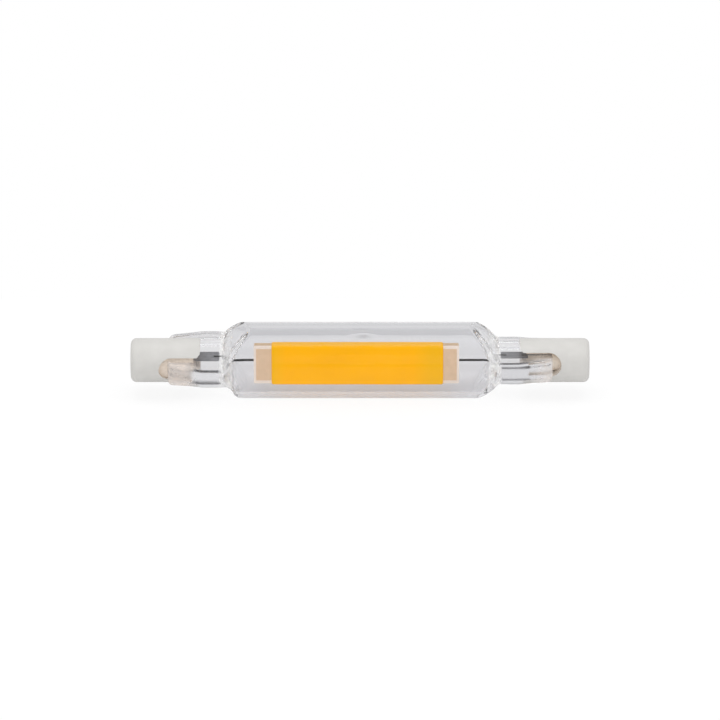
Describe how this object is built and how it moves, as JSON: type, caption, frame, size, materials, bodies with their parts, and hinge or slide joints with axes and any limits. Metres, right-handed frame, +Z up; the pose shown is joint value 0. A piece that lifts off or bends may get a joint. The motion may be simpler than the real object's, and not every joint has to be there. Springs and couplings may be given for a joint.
{
  "type": "linear led bulb",
  "caption": "Double-ended clear glass tube lamp: a yellow-coated LED strip on leads inside, flat pinched seals and forked ceramic caps with recessed contacts.",
  "frame": {"origin": "middle of the lamp, on its axis", "axes": "+X along the lamp, -Y out of the lit face of the strip, +Z up"},
  "size_m": [0.078, 0.014, 0.013],
  "materials": {
    "clear_glass": "gloss",
    "board_ceramic": "matte",
    "phosphor": "satin",
    "die": "gloss",
    "pad_metal": "satin",
    "solder": "satin",
    "lead_wire": "satin",
    "foil": "satin",
    "cap_ceramic": "matte",
    "cement": "matte",
    "contact_metal": "satin"
  },
  "bodies": {
    "root": {"glass_envelope": "clear_glass", "led_board": "board_ceramic", "phosphor_coat": "phosphor", "led_chips": "die", "rectifier_chip": "die", "regulator_chip": "die", "front_pad_left": "pad_metal", "front_pad_right": "pad_metal", "back_pad_left": "pad_metal", "back_pad_right": "pad_metal", "solder_joint_left": "solder", "solder_joint_right": "solder", "inner_lead_left": "lead_wire", "inner_lead_right": "lead_wire", "seal_foil_left": "foil", "seal_foil_right": "foil", "outer_lead_left": "lead_wire", "outer_lead_right": "lead_wire", "ceramic_cap_left": "cap_ceramic", "ceramic_cap_right": "cap_ceramic", "cap_cement_left": "cement", "cap_cement_right": "cement", "end_contact_left": "contact_metal", "end_contact_right": "contact_metal"}
  },
  "joints": []
}
